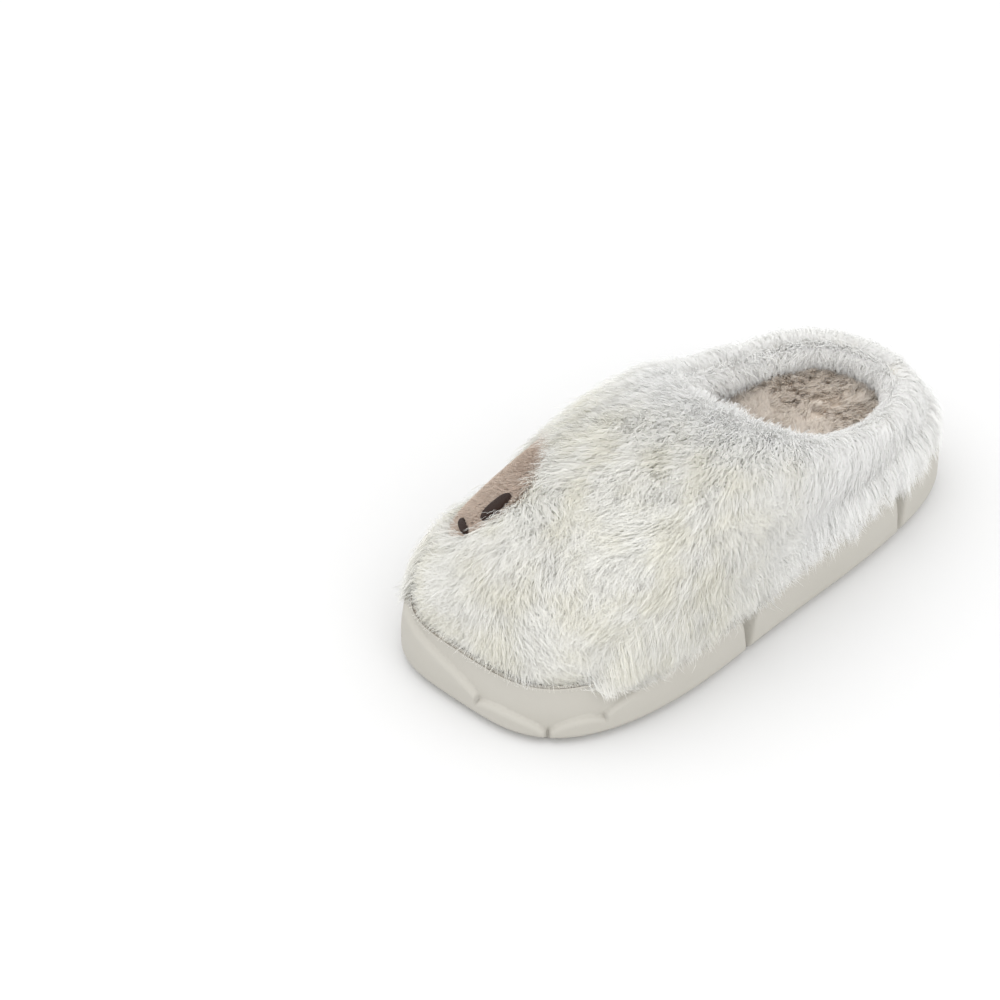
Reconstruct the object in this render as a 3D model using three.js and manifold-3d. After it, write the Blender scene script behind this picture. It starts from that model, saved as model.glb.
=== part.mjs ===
// A plush house slipper for the left foot: a moulded platform sole, a footbed, and a furry upper in layers.
// Millimetres. The toe points to -Y, +X is the wearer's left, +Z is up, and the origin is under the middle
// of the sole. "Toeward" below means -Y, so a place at toeward 100 has y = -100.
import * as THREE from 'three';
import { mergeVertices } from 'three/addons/utils/BufferGeometryUtils.js';
import Module from 'manifold-3d';

const wasm = await Module();
wasm.setup();

// ---- driving dimensions ----
const GAP = 0.35; // air left between two pieces that touch

const SOLE_LENGTH = 265;
const BALL_HALF_WIDTH = 64;
const HEEL_HALF_WIDTH = 54;
const OUTLINE_POWER = 3.5; // 2 is an ellipse, larger is squarer
const WAIST_DEPTH_INNER = 4; // how far the arch side pulls in
const WAIST_DEPTH_OUTER = 2;
const TOE_SWING = 3; // the toe leans this far towards the big toe
const RIM_HEIGHT_TOE = 25; // top of the sole's lip
const RIM_HEIGHT_HEEL = 36;
const LIP_INSET = 4; // from the widest outline to the lip's outer edge
const LIP_WIDTH = 3;
const SEAT_DEPTH_TOE = 4; // the upper stands this far below the lip
const SEAT_DEPTH_HEEL = 6;
const BOTTOM_INSET = 4.5; // the flat underside is smaller than the widest outline
const BAND_INSET = 2.6; // the smooth band above the raised blocks
// The wedge-shaped cuts between two blocks: share of the way round from the toe over the wearer's left, half
// width at the ground and at the rim, depth, and height as a share of the wall. Beside a low cut the blocks
// begin as low lobes.
const CUTS = [
  { place: 0.065, foot: 0.35, mouth: 1.2, depth: 4.5, top: 0.36, isLow: true },
  { place: 0.219, foot: 0.5, mouth: 8, depth: 7.5, top: 0.8, isLow: false },
  { place: 0.373, foot: 0.5, mouth: 7, depth: 7.5, top: 0.8, isLow: false },
  { place: 0.627, foot: 0.5, mouth: 7, depth: 7, top: 0.8, isLow: false },
  { place: 0.806, foot: 0.5, mouth: 7, depth: 7, top: 0.8, isLow: false },
];
const CUT_FADE = 0.25; // share of the wall over which a cut runs out at its top
const LOW_LOBE = { height: 0.4, inner: 33, outer: 24 }; // lobes beside a low cut, along the wall
const HIGH_LOBE = { start: 0.46, length: 44, power: 0.62 }; // past a notch the edge climbs to its full height
const BLOCK_TOP = 0.93; // a full block's height, as a share of the wall
const BLOCK_ROUNDING = 9;
const BLOCK_EDGE = 2.2; // height over which the wall steps back above a block

const TREAD_DEPTH = 1.8;
const TREAD_WIDTH = 3;
const TREAD_PITCH = 19;
const TREAD_MARGIN = 13; // plain rubber kept between a groove and the sole's edge

const OUTER_REACH = { heel: 9, instep: 55 }; // how far the roll starts outside the topline
const OUTER_RISE = { heel: 7, instep: 10 }; // and how far above it
const INNER_REACH = { heel: 5, instep: 42 };
const INNER_RISE = { heel: 2, instep: 8 };
// The toe's inner side is flatter, under the patch.
const DENT = { u: -0.14, halfWidth: 0.13, belly: 7, roll: 10 };
const NO_DROP = { heel: 0, instep: 0 };
const TOPLINE_DROP = { heel: 5, instep: 12 }; // thickness of the layered edge at the topline

const OPENING_CENTRE = -61; // toeward
const OPENING_HALF_LENGTH = 53;
const OPENING_HALF_WIDTH = 35;
const OPENING_POWER = 2.4;
const TOPLINE_HEEL = 51; // height of the collar's edge at the heel
const TOPLINE_INSTEP = 81;
const TOPLINE_CURVE = 2.8; // the collar stays low and climbs only near the instep

const FUR_THICKNESS = 5.5;
const STIFFENER_THICKNESS = 0.8;
const FOAM_THICKNESS = 2;
const LINING_THICKNESS = 4;
const TAPE_THICKNESS = 1.2;
const TAPE_LEVELS = [0.9, 1]; // the narrow band just under the topline
const STROBEL_THICKNESS = 1.2;
const STROBEL_CLEARANCE = 0.5; // between its edge and the fur fabric
const FOOTBED_THICKNESS = 4.5;
const SOCK_THICKNESS = 4.5;
const FOOTBED_CLEARANCE = 0.9; // between the footbed's edge and the lining
const SEAM_PLACE = 0.277; // the side seams, as a share of the way round from the toe

// The patch and its marks, in the upper's own coordinates: u round from the toe, v up from the sole.
const PATCH = { u: -0.1, v: 0.46, halfU: 0.063, halfV: 0.165 };
const LONG_MARK = { u: -0.048, v: 0.445, halfU: 0.0075, halfV: 0.046 };
const SHORT_MARK = { u: -0.06, v: 0.35, halfU: 0.012, halfV: 0.012 };
const PATCH_THICKNESS = 1.6;
const MARK_THICKNESS = 0.9;
const PATCH_SQUARENESS = 2.6; // 2 is an ellipse

const AROUND_SOLE = 112; // steps round the sole
const AROUND_PLATE = 56; // steps round a flat piece
const VAMP_STEPS = 26; // steps from one side seam over the toe to the other
const HEEL_STEPS = 18; // steps from one side seam round the heel to the other
const LEVELS = [0, 0.06, 0.18, 0.32, 0.47, 0.62, 0.77, 0.9, 1]; // from the sole to the topline

// ---- small helpers ----
const { tanh, exp, abs, sign, cos, sin, sqrt, max, min, PI } = Math;
const power = (value, exponent) => sign(value) * abs(value) ** exponent;
const mix = (a, b, share) => a + (b - a) * share;
const smooth = (value) => {
  const share = THREE.MathUtils.clamp(value, 0, 1);
  return share * share * (3 - 2 * share);
};

// Height of a plane that slopes evenly from the toe to the heel.
function slope(toeHeight, heelHeight, y) {
  return mix(toeHeight, heelHeight, y / SOLE_LENGTH + 0.5);
}
const rimHeight = (y) => slope(RIM_HEIGHT_TOE, RIM_HEIGHT_HEEL, y);
const seatHeight = (y) => slope(RIM_HEIGHT_TOE - SEAT_DEPTH_TOE, RIM_HEIGHT_HEEL - SEAT_DEPTH_HEEL, y);

// ---- outline of the sole ----
// A rounded oval whose half width changes from ball to heel, with a shallow waist on each side.
function rawOutline(angle) {
  const toeward = (SOLE_LENGTH / 2) * power(cos(angle), 2 / OUTLINE_POWER);
  const t = toeward / (SOLE_LENGTH / 2);
  const side = sin(angle);
  const middle = (BALL_HALF_WIDTH + HEEL_HALF_WIDTH) / 2;
  const change = (BALL_HALF_WIDTH - HEEL_HALF_WIDTH) / 2;
  const waist = side > 0 ? WAIST_DEPTH_OUTER : WAIST_DEPTH_INNER;
  const half = middle + (change * tanh(1.6 * t)) / tanh(1.6) - waist * exp(-(((t - 0.1) / 0.35) ** 2));
  const swing = TOE_SWING * max(t, 0) ** 2;
  return [half * power(side, 2 / OUTLINE_POWER) - swing, -toeward];
}

// The same outline measured along its own length, so that even shares give even steps.
function measuredOutline() {
  const count = 2880;
  const points = Array.from({ length: count }, (_, i) => rawOutline((2 * PI * i) / count));
  const lengths = [0];
  for (let i = 0; i < count; i++) {
    const [x0, y0] = points[i];
    const [x1, y1] = points[(i + 1) % count];
    lengths.push(lengths[i] + Math.hypot(x1 - x0, y1 - y0));
  }
  return { points, lengths, total: lengths[count] };
}
const OUTLINE = measuredOutline();

function outlinePlace(share) {
  const wanted = (share - Math.floor(share)) * OUTLINE.total;
  let low = 0;
  let high = OUTLINE.points.length;
  while (high - low > 1) {
    const middle = (low + high) >> 1;
    if (OUTLINE.lengths[middle] <= wanted) low = middle;
    else high = middle;
  }
  const [x0, y0] = OUTLINE.points[low];
  const [x1, y1] = OUTLINE.points[(low + 1) % OUTLINE.points.length];
  const part = (wanted - OUTLINE.lengths[low]) / (OUTLINE.lengths[low + 1] - OUTLINE.lengths[low]);
  return [mix(x0, x1, part), mix(y0, y1, part)];
}

// A point of the outline, moved inwards by inset, with the outward direction.
function outlineAt(share, inset = 0) {
  const step = 0.004;
  const [xa, ya] = outlinePlace(share - step);
  const [xb, yb] = outlinePlace(share + step);
  const length = Math.hypot(xb - xa, yb - ya);
  const out = [-(yb - ya) / length, (xb - xa) / length];
  const facing = out[0] * xa + out[1] * ya > 0 ? 1 : -1;
  const [x, y] = outlinePlace(share);
  const nx = out[0] * facing;
  const ny = out[1] * facing;
  return { x: x - nx * inset, y: y - ny * inset, nx, ny };
}

// ---- building meshes ----
function solidGeometry(vertices, triangles) {
  const geometry = new THREE.BufferGeometry();
  geometry.setAttribute('position', new THREE.Float32BufferAttribute(vertices.flat(), 3));
  geometry.setIndex(triangles.flat());
  geometry.computeVertexNormals();
  return geometry;
}

// A body of rings stacked from its first ring to its last, closed by a fan at each end.
function stackedRings(rings, firstCentre, lastCentre) {
  const count = rings[0].length;
  const vertices = [...rings.flat(), firstCentre, lastCentre];
  const triangles = [];
  const at = (ring, i) => ring * count + (i % count);
  for (let ring = 0; ring < rings.length - 1; ring++) {
    for (let i = 0; i < count; i++) {
      triangles.push([at(ring, i), at(ring, i + 1), at(ring + 1, i + 1)]);
      triangles.push([at(ring, i), at(ring + 1, i + 1), at(ring + 1, i)]);
    }
  }
  const first = vertices.length - 2;
  const last = vertices.length - 1;
  for (let i = 0; i < count; i++) {
    triangles.push([first, at(0, i + 1), at(0, i)]);
    triangles.push([last, at(rings.length - 1, i), at(rings.length - 1, i + 1)]);
  }
  return solidGeometry(vertices, triangles);
}

// A sheet with thickness: two grids of points, closed along their edges. A ring closes on itself.
function sheetBetween(outer, inner, isRing) {
  const columns = outer.length;
  const rows = outer[0].length;
  const vertices = [...outer.flat(), ...inner.flat()];
  const triangles = [];
  const out = (i, j) => (i % columns) * rows + j;
  const into = (i, j) => columns * rows + (i % columns) * rows + j;
  const quad = (a, b, c, d) => triangles.push([a, b, c], [a, c, d]);
  const steps = isRing ? columns : columns - 1;
  for (let i = 0; i < steps; i++) {
    for (let j = 0; j < rows - 1; j++) {
      quad(out(i, j), out(i + 1, j), out(i + 1, j + 1), out(i, j + 1));
      quad(into(i, j), into(i, j + 1), into(i + 1, j + 1), into(i + 1, j));
    }
    quad(out(i, 0), into(i, 0), into(i + 1, 0), out(i + 1, 0));
    quad(out(i, rows - 1), out(i + 1, rows - 1), into(i + 1, rows - 1), into(i, rows - 1));
  }
  for (let j = 0; j < rows - 1 && !isRing; j++) {
    quad(out(0, j), out(0, j + 1), into(0, j + 1), into(0, j));
    quad(out(steps, j), into(steps, j), into(steps, j + 1), out(steps, j + 1));
  }
  return solidGeometry(vertices, triangles);
}

function toManifold(geometry) {
  const bare = new THREE.BufferGeometry();
  bare.setAttribute('position', geometry.getAttribute('position').clone());
  if (geometry.index) bare.setIndex(geometry.index.clone());
  const merged = mergeVertices(bare, 1e-4);
  return new wasm.Manifold(
    new wasm.Mesh({
      numProp: 3,
      vertProperties: new Float32Array(merged.getAttribute('position').array),
      triVerts: new Uint32Array(merged.index.array),
    }),
  );
}

function fromManifold(solid) {
  const mesh = solid.getMesh();
  const geometry = new THREE.BufferGeometry();
  geometry.setAttribute('position', new THREE.BufferAttribute(new Float32Array(mesh.vertProperties), 3));
  geometry.setIndex(new THREE.BufferAttribute(new Uint32Array(mesh.triVerts), 1));
  geometry.computeVertexNormals();
  return geometry;
}

// ---- the sole ----
// The cut nearest to a place on the wall, and how far round the wall it is, negative before it.
function nearestCut(share) {
  const reaches = CUTS.map((cut) => {
    const turn = share - cut.place;
    return (turn - Math.round(turn)) * OUTLINE.total;
  });
  const nearest = reaches.reduce((best, reach, i) => (abs(reach) < abs(reaches[best]) ? i : best), 0);
  return { cut: CUTS[nearest], reach: reaches[nearest] };
}

// Height of the blocks' top edge, as a share of the wall.
function blockHeight(cut, reach) {
  const away = abs(reach);
  if (!cut.isLow) {
    const corner = 1 - min(1, away / BLOCK_ROUNDING);
    return BLOCK_TOP * mix(0.35, 1, sqrt(1 - corner ** 2));
  }
  const lobe = reach < 0 ? LOW_LOBE.inner : LOW_LOBE.outer;
  if (away < lobe) {
    const fromMiddle = away / (lobe / 2) - 1;
    return LOW_LOBE.height * mix(0.5, 1, sqrt(1 - fromMiddle ** 2));
  }
  const climb = min(1, (away - lobe) / HIGH_LOBE.length) ** HIGH_LOBE.power;
  return mix(HIGH_LOBE.start, BLOCK_TOP, climb);
}

// How far the wall at this place and height lies inside the widest outline.
function wallInset(share, height, wall) {
  const { cut, reach } = nearestCut(share);
  const rise = height / wall;
  const foot = BOTTOM_INSET * (1 - smooth(rise / 0.22)) ** 2;
  const lean = mix(0, LIP_INSET - BAND_INSET, smooth((rise - 0.4) / 0.6));
  const band = BAND_INSET * smooth(((rise - blockHeight(cut, reach)) * wall) / BLOCK_EDGE + 0.5);
  const wedge = max(0, 1 - abs(reach) / mix(cut.foot, cut.mouth, rise));
  const depth = cut.depth * wedge * smooth((cut.top - rise) / CUT_FADE);
  return max(foot, lean + max(band, depth));
}

// Even steps round the sole, with extra ones at each cut.
function soleStations() {
  const even = Array.from({ length: AROUND_SOLE }, (_, i) => i / AROUND_SOLE);
  const extra = CUTS.flatMap((cut) => {
    const sides = cut.isLow ? [-1, 0, 1] : [-1, -0.4, 0, 0.4, 1];
    return sides.map((side) => cut.place + (side * cut.mouth) / OUTLINE.total);
  });
  const clear = even.filter((share) => extra.every((cut) => abs(cut - share) > 1.2 / OUTLINE.total));
  return [...clear, ...extra].sort((a, b) => a - b);
}

function soleBody() {
  const stations = soleStations();
  const wallLevels = [0, 0.06, 0.14, 0.26, 0.4, 0.52, 0.64, 0.76, 0.88, 1];
  const ring = (place) => stations.map(place);
  const rings = [];
  for (const level of wallLevels) {
    rings.push(
      ring((share) => {
        const wall = rimHeight(outlineAt(share).y);
        const inset = wallInset(share, level * wall, wall);
        const { x, y } = outlineAt(share, inset);
        return [x, y, level * wall];
      }),
    );
  }
  const lipInner = LIP_INSET + LIP_WIDTH;
  rings.push(
    ring((share) => {
      const { x, y } = outlineAt(share, lipInner - GAP);
      return [x, y, rimHeight(outlineAt(share).y)];
    }),
  );
  rings.push(
    ring((share) => {
      const { x, y } = outlineAt(share, lipInner - GAP);
      return [x, y, seatHeight(y)];
    }),
  );
  return stackedRings(rings, [0, 0, 0], [0, 0, seatHeight(0)]);
}

// Straight cuts across the underside, short of its edge.
function treadGrooves() {
  const grooves = [];
  const reach = SOLE_LENGTH / 2 - TREAD_MARGIN - BOTTOM_INSET;
  const count = Math.floor(reach / TREAD_PITCH);
  for (let i = -count; i <= count; i++) {
    if (i === 0) continue;
    const y = i * TREAD_PITCH;
    const along = -y / (SOLE_LENGTH / 2);
    const half = HEEL_HALF_WIDTH * (1 - abs(along) ** OUTLINE_POWER) ** (1 / OUTLINE_POWER) - TREAD_MARGIN;
    const box = new THREE.BoxGeometry(2 * half, TREAD_WIDTH, 2 * TREAD_DEPTH);
    box.translate(0, y, 0);
    grooves.push(box);
  }
  return grooves;
}

function unitSole() {
  let solid = toManifold(soleBody());
  for (const groove of treadGrooves()) solid = solid.subtract(toManifold(groove));
  return fromManifold(solid);
}

// ---- the upper ----
const BASE_INSET = LIP_INSET + LIP_WIDTH + 0.4;
const DEPTH_STIFFENER = FUR_THICKNESS + GAP;
const DEPTH_FOAM = DEPTH_STIFFENER + STIFFENER_THICKNESS + GAP;
const DEPTH_LINING = DEPTH_FOAM + FOAM_THICKNESS + GAP;
const WALL_THICKNESS = DEPTH_LINING + LINING_THICKNESS;

// The edge of the foot opening: a level oval seen from above that climbs towards the instep.
function toplineAt(angle) {
  const toeward = OPENING_CENTRE + OPENING_HALF_LENGTH * power(cos(angle), 2 / OPENING_POWER);
  const climb = (toeward - OPENING_CENTRE + OPENING_HALF_LENGTH) / (2 * OPENING_HALF_LENGTH);
  return new THREE.Vector3(
    OPENING_HALF_WIDTH * power(sin(angle), 2 / OPENING_POWER),
    -toeward,
    mix(TOPLINE_HEEL, TOPLINE_INSTEP, max(climb, 0) ** TOPLINE_CURVE),
  );
}

// A curve from the sole to the topline at one place round the upper. It starts inset from the sole's
// outline, bulges a little, rolls over and ends at a drop under the topline.
function upperCurve(u, inset, drop, reach, rise) {
  const turn = 2 * PI * u;
  const angle = turn - 0.5 * sin(turn);
  const front = (1 + cos(angle)) / 2;
  const foot = outlineAt(u, inset);
  const base = new THREE.Vector3(foot.x, foot.y, seatHeight(foot.y) + 0.4);
  const top = toplineAt(angle);
  top.z -= mix(drop.heel, drop.instep, front);
  const lift = 0.6 * (top.z - base.z);
  const bulge = 0.12 * lift;
  const fromDent = abs(u - Math.round(u) - DENT.u) / DENT.halfWidth;
  const dent = smooth(1 - fromDent);
  const out = mix(reach.heel, reach.instep, front ** 3);
  const bellyHeight = base.z + lift - DENT.belly * dent;
  const belly = new THREE.Vector3(base.x + bulge * foot.nx, base.y + bulge * foot.ny, bellyHeight);
  const roll = new THREE.Vector3(
    top.x + out * sin(angle),
    top.y - out * cos(angle),
    top.z + mix(rise.heel, rise.instep, front) - DENT.roll * dent,
  );
  return new THREE.CubicBezierCurve3(base, belly, roll, top);
}

// The outside of the upper, and the inside of its lining. u runs round from the toe over the wearer's
// left, v runs from the sole to the topline.
const outside = (u, v) => upperCurve(u, BASE_INSET, NO_DROP, OUTER_REACH, OUTER_RISE).getPoint(v);
const inside = (u, v) =>
  upperCurve(u, BASE_INSET + WALL_THICKNESS, TOPLINE_DROP, INNER_REACH, INNER_RISE).getPoint(v);

// A point at a depth below the outside of the upper, or above it where the depth is negative.
function upperPoint(u, v, depth) {
  const skin = outside(u, v);
  if (depth >= 0) return skin.lerp(inside(u, v), depth / WALL_THICKNESS).toArray();
  const step = 0.01;
  const along = outside(u, v + step).sub(outside(u, v - step));
  const round = outside(u + step, v).sub(outside(u - step, v));
  const normal = round.cross(along).normalize();
  return skin.addScaledVector(normal, -depth).toArray();
}

// One layer of the upper between two depths, over a run of stations round it and of levels up it.
function layer(stations, levels, depth, thickness) {
  const isRing = stations === RING_STATIONS;
  const grid = (level) => stations.map((u) => levels.map((v) => upperPoint(u, v, level)));
  return sheetBetween(grid(depth), grid(depth + thickness), isRing);
}

// The stations round the vamp and round the heel, which every layer shares.
function stationsBetween(from, to, steps) {
  return Array.from({ length: steps + 1 }, (_, i) => mix(from, to, i / steps));
}
const SEAM_HALF = 0.001; // half of the hair's breadth left open at each side seam
const VAMP_STATIONS = stationsBetween(-SEAM_PLACE + SEAM_HALF, SEAM_PLACE - SEAM_HALF, VAMP_STEPS);
const HEEL_STATIONS = stationsBetween(SEAM_PLACE + SEAM_HALF, 1 - SEAM_PLACE - SEAM_HALF, HEEL_STEPS);
const RING_STATIONS = [...VAMP_STATIONS, ...HEEL_STATIONS];

// ---- flat pieces in the footwell ----
// The ring where a plane parallel to the seat meets the upper at a depth, with a little room left.
function footwellRing(lift, depth) {
  return Array.from({ length: AROUND_PLATE }, (_, i) => {
    const u = i / AROUND_PLATE;
    let low = 0;
    let high = 0.5;
    for (let step = 0; step < 24; step++) {
      const middle = (low + high) / 2;
      const [, y, z] = upperPoint(u, middle, depth);
      if (z < seatHeight(y) + lift) low = middle;
      else high = middle;
    }
    const [x, y] = upperPoint(u, low, depth);
    return [x, y, seatHeight(y) + lift];
  });
}

function plate(above, thickness, depth) {
  const top = above + thickness;
  return stackedRings(
    [footwellRing(above, depth), footwellRing(top, depth)],
    [0, 0, seatHeight(0) + above],
    [0, 0, seatHeight(0) + top],
  );
}

// A rounded patch of one thickness that follows the fur at a height above it.
function patchSolid(place, height, thickness, spokes, rings) {
  const ringAt = (size, lift) =>
    Array.from({ length: spokes }, (_, i) => {
      const angle = (2 * PI * i) / spokes;
      const u = place.u + place.halfU * size * power(cos(angle), 2 / PATCH_SQUARENESS);
      const v = place.v + place.halfV * size * power(sin(angle), 2 / PATCH_SQUARENESS);
      return upperPoint(u, v, -lift);
    });
  const under = [];
  const over = [];
  for (let ring = 1; ring <= rings; ring++) {
    under.push(ringAt(ring / rings, height));
    over.unshift(ringAt(ring / rings, height + thickness));
  }
  const centre = (lift) => upperPoint(place.u, place.v, -lift);
  return stackedRings([...under, ...over], centre(height), centre(height + thickness));
}

// ---- materials ----
function finish(colour, roughness) {
  return new THREE.MeshStandardMaterial({ color: colour, roughness, metalness: 0 });
}
const MATERIALS = {
  sole: finish(0xd6d2c6, 0.7),
  fur: finish(0xf1efe8, 0.95),
  sherpa: finish(0xb3a392, 1),
  foam: finish(0xe9e4d2, 0.9),
  board: finish(0xcdbb98, 0.9),
  patch: finish(0xc4a695, 0.95),
  thread: finish(0x3a241c, 0.7),
};

// ---- assembly ----
const slipper = new THREE.Group();
slipper.name = 'house_slipper';

function add(name, geometry, material) {
  const mesh = new THREE.Mesh(geometry, material);
  mesh.name = name;
  slipper.add(mesh);
}

function addFootwell() {
  const strobelTop = GAP + STROBEL_THICKNESS;
  const footbedTop = strobelTop + GAP + FOOTBED_THICKNESS;
  const room = WALL_THICKNESS + FOOTBED_CLEARANCE;
  add('strobel_sock', plate(GAP, STROBEL_THICKNESS, DEPTH_STIFFENER + STROBEL_CLEARANCE), MATERIALS.board);
  add('footbed_foam', plate(strobelTop + GAP, FOOTBED_THICKNESS, room), MATERIALS.foam);
  add('sherpa_insock', plate(footbedTop + GAP, SOCK_THICKNESS, room), MATERIALS.sherpa);
}

function addUpper() {
  const inner = LEVELS.slice(1); // the inner layers start above the strobel sock
  const padded = LEVELS.slice(1, -2); // the foam stops below the topline
  const middleOfVamp = VAMP_STATIONS.slice(6, -6);
  const middleOfHeel = HEEL_STATIONS.slice(4, -4);
  const stiffener = STIFFENER_THICKNESS;
  add('vamp_fur', layer(VAMP_STATIONS, LEVELS, 0, FUR_THICKNESS), MATERIALS.fur);
  add('heel_fur', layer(HEEL_STATIONS, LEVELS, 0, FUR_THICKNESS), MATERIALS.fur);
  add('toe_puff', layer(middleOfVamp, LEVELS.slice(1, 5), DEPTH_STIFFENER, stiffener), MATERIALS.board);
  add('heel_counter', layer(middleOfHeel, LEVELS.slice(1, 6), DEPTH_STIFFENER, stiffener), MATERIALS.board);
  add('vamp_foam', layer(VAMP_STATIONS, padded, DEPTH_FOAM, FOAM_THICKNESS), MATERIALS.foam);
  add('heel_foam', layer(HEEL_STATIONS, padded, DEPTH_FOAM, FOAM_THICKNESS), MATERIALS.foam);
  add('vamp_lining', layer(VAMP_STATIONS, inner, DEPTH_LINING, LINING_THICKNESS), MATERIALS.sherpa);
  add('heel_lining', layer(HEEL_STATIONS, inner, DEPTH_LINING, LINING_THICKNESS), MATERIALS.sherpa);
  add('topline_tape', layer(RING_STATIONS, TAPE_LEVELS, DEPTH_FOAM, TAPE_THICKNESS), MATERIALS.board);
}

function addPatch() {
  const patchTop = GAP + PATCH_THICKNESS;
  add('plush_patch', patchSolid(PATCH, GAP, PATCH_THICKNESS, 24, 4), MATERIALS.patch);
  add('patch_mark_long', patchSolid(LONG_MARK, patchTop + GAP, MARK_THICKNESS, 14, 2), MATERIALS.thread);
  add('patch_mark_short', patchSolid(SHORT_MARK, patchTop + GAP, MARK_THICKNESS, 10, 1), MATERIALS.thread);
}

add('unit_sole', unitSole(), MATERIALS.sole);
addFootwell();
addUpper();
addPatch();

export default slipper;
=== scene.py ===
"""The looks of a fluffy house slipper: moulded foam sole, long fur, sherpa footbed and lining, and a patch.

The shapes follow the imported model's own curves. Lengths are in millimetres here and become metres when a
mesh is made. The toe points to -Y, +X is the wearer's left and +Z is up. Places on the upper are given as u,
the share of the way round from the toe, and v, from 0 at the sole to 1 at the edge of the foot opening.
"""

import bpy
import numpy as np
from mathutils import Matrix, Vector


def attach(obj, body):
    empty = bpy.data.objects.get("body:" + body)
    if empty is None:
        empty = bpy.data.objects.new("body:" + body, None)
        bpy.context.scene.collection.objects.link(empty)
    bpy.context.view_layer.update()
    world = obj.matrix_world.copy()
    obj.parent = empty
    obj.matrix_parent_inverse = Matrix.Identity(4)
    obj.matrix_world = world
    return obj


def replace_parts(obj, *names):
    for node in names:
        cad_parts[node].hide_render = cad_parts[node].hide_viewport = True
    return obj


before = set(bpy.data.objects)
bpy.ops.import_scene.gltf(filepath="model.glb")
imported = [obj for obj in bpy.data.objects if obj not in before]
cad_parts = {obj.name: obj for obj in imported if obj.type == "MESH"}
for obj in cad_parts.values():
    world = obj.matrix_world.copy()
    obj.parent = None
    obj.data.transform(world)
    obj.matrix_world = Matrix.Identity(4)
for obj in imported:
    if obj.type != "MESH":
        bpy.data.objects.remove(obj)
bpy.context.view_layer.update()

# ---- dimensions shared with the solids ----
SOLE_LENGTH = 265.0
BALL_HALF_WIDTH = 64.0
HEEL_HALF_WIDTH = 54.0
OUTLINE_POWER = 3.5
WAIST_DEPTH_INNER = 4.0
WAIST_DEPTH_OUTER = 2.0
TOE_SWING = 3.0
RIM_HEIGHT_TOE = 25.0
RIM_HEIGHT_HEEL = 36.0
LIP_INSET = 4.0
LIP_WIDTH = 3.0
SEAT_DEPTH_TOE = 4.0
SEAT_DEPTH_HEEL = 6.0
BOTTOM_INSET = 4.5
BAND_INSET = 2.6
GAP_PLACES = np.array([0.065, 0.219, 0.373, 0.627, 0.806])
GAP_IS_LOW = np.array([True, False, False, False, False])  # beside these cuts the blocks are low lobes
GAP_DEPTH = np.array([4.5, 7.5, 7.5, 7.0, 7.0])
GAP_FOOT = np.array([0.35, 0.5, 0.5, 0.5, 0.5])  # half width of a cut at the ground
GAP_MOUTH = np.array([1.2, 8.0, 7.0, 7.0, 7.0])  # and at the blocks' top
GAP_TOP = np.array([0.36, 0.8, 0.8, 0.8, 0.8])  # height of a cut, as a share of the wall
GAP_FADE = 0.25  # share of the wall over which a cut runs out at its top
BLOCK_TOP = 0.93  # height of a full block, as a share of the wall
BLOCK_ROUNDING = 9.0
LOW_LOBE = 0.4
LOW_LOBE_LENGTHS = (33.0, 24.0)  # on the inner and the outer side of the cut
HIGH_LOBE_LENGTH = 44.0
PILLOW = 2.6  # radius of a block's rounded edge
TREAD_DEPTH = 1.8
TREAD_WIDTH = 3.0
TREAD_PITCH = 19.0
TREAD_MARGIN = 13.0
OPENING_CENTRE = -61.0
OPENING_HALF_LENGTH = 53.0
OPENING_HALF_WIDTH = 35.0
OPENING_POWER = 2.4
TOPLINE_HEEL = 51.0
TOPLINE_INSTEP = 81.0
TOPLINE_CURVE = 2.8
OUTER_REACH = (9.0, 55.0)
OUTER_RISE = (7.0, 10.0)
INNER_REACH = (5.0, 42.0)
INNER_RISE = (2.0, 8.0)
TOPLINE_DROP = (5.0, 12.0)
NO_DROP = (0.0, 0.0)
DENT_U = -0.14
DENT_HALF = 0.13
DENT_BELLY = 7.0
DENT_ROLL = 10.0
BASE_INSET = 7.4
WALL_THICKNESS = 13.35
SEAM_PLACE = 0.277
INSOCK_TOP = 11.25
PATCH = {"u": -0.1, "v": 0.46, "half_u": 0.063, "half_v": 0.165}
LONG_MARK = {"u": -0.048, "v": 0.445, "half_u": 0.0075, "half_v": 0.046}
SHORT_MARK = {"u": -0.06, "v": 0.35, "half_u": 0.012, "half_v": 0.012}
PATCH_SQUARENESS = 2.6

# ---- dimensions of the looks ----
PELT_DEPTH = 3.2  # the fur's backing lies this far below the solid's outside
COLLAR_INNER_DEPTH = 9.4  # and, turned in over the opening's edge, this far
FUR_WIDTH = 0.27
FUR_SECTORS = 11
FUR_STEPS = 5  # points along a strand
LOCKS = 5000
STRANDS_PER_LOCK = 32
UNDER_STRANDS = 66000
BUNCHES = 900  # of the fringe
STRANDS_PER_BUNCH = 42
INNER_STRANDS = 14000
COLLAR_STRANDS = 34000
SHERPA_STEPS = 6
INSOCK_TRIES = 40000
INSOCK_TUFTS = 2600
HIDDEN_TOEWARD = -45.0  # past here the upper hides the footbed
LINING_TUFTS = 1900
LINING_DEPTH = WALL_THICKNESS - 2.2  # its backing's two sides
LINING_BACK_DEPTH = WALL_THICKNESS - 3.6
PATCH_STRANDS = 26000
PATCH_STEPS = 4
SOLE_STATIONS = 1100
TOE_FRONT_U = 0.0125  # the middle and half width of the toe's front, where the welt shows
TOE_FRONT_HALF = 0.092
OVERHANG = (8.0, 13.0)  # how far the fur hangs below the rim, beside the toe and at the heel
HANG_MOST = 5.0
FRINGE_REACH = 0.6  # how far the fringe stands out past the sole's widest outline
COLLAR_REACH = (12.0, 20.0)  # how far the collar's fur reaches in over the opening, at the heel and instep
COLLAR_DROOP = (7.5, 12.0)
LOCK_SPREAD = 2.6
LOCK_DRAW = 0.25  # share of its way to the lock's middle that a strand's tip goes
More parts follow.
